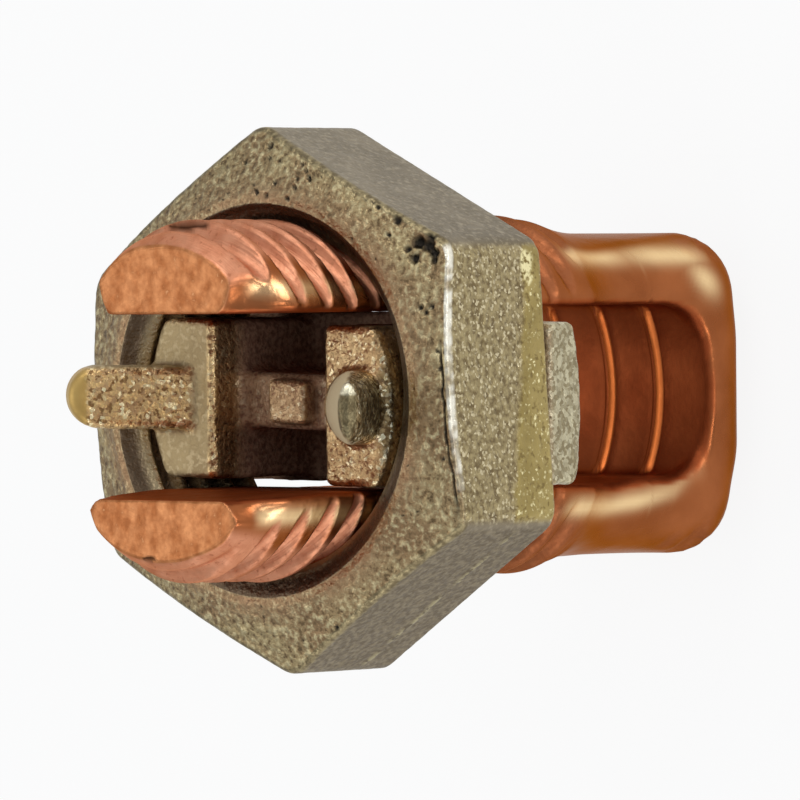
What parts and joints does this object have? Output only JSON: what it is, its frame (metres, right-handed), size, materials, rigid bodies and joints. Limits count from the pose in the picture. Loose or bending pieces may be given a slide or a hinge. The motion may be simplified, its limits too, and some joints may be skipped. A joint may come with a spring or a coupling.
{
  "type": "split bolt connector",
  "caption": "Copper split bolt connector: a slotted threaded bolt whose cast hex nut drives a captive pressure bar down onto conductors laid in the slot.",
  "frame": {"origin": "middle of the foot at the closed end, on the bolt's axis", "axes": "+Z along the bolt from the closed end to the leg tips, X across the slot from leg to leg, Y along the conductors"},
  "size_m": [0.029, 0.0262, 0.041],
  "materials": {
    "copper": "bright forged copper, satin on the thread",
    "cast_bronze": "sand-cast bronze, grainy and dull",
    "bar_bronze": "cast bronze, fine bright grain"
  },
  "bodies": {
    "split_bolt": {"split_bolt": "copper"},
    "pressure_bar": {"pressure_bar": "bar_bronze"},
    "hex_nut": {"hex_nut": "cast_bronze"}
  },
  "joints": [
    {"name": "bar_slide", "type": "slide", "parent": "split_bolt", "child": "pressure_bar", "axis": [0, 0, 1], "range_m": [-0.01036, 0.01036]},
    {"name": "nut_turn", "type": "hinge", "parent": "pressure_bar", "child": "hex_nut", "pos_m": [0, 0, 0.029], "axis": [0, 0, 1], "range_deg": [-2070, 2070]}
  ],
  "couplings": [
    {"joint": "bar_slide", "follows": "nut_turn", "m_per_rad": 0.00028648}
  ]
}
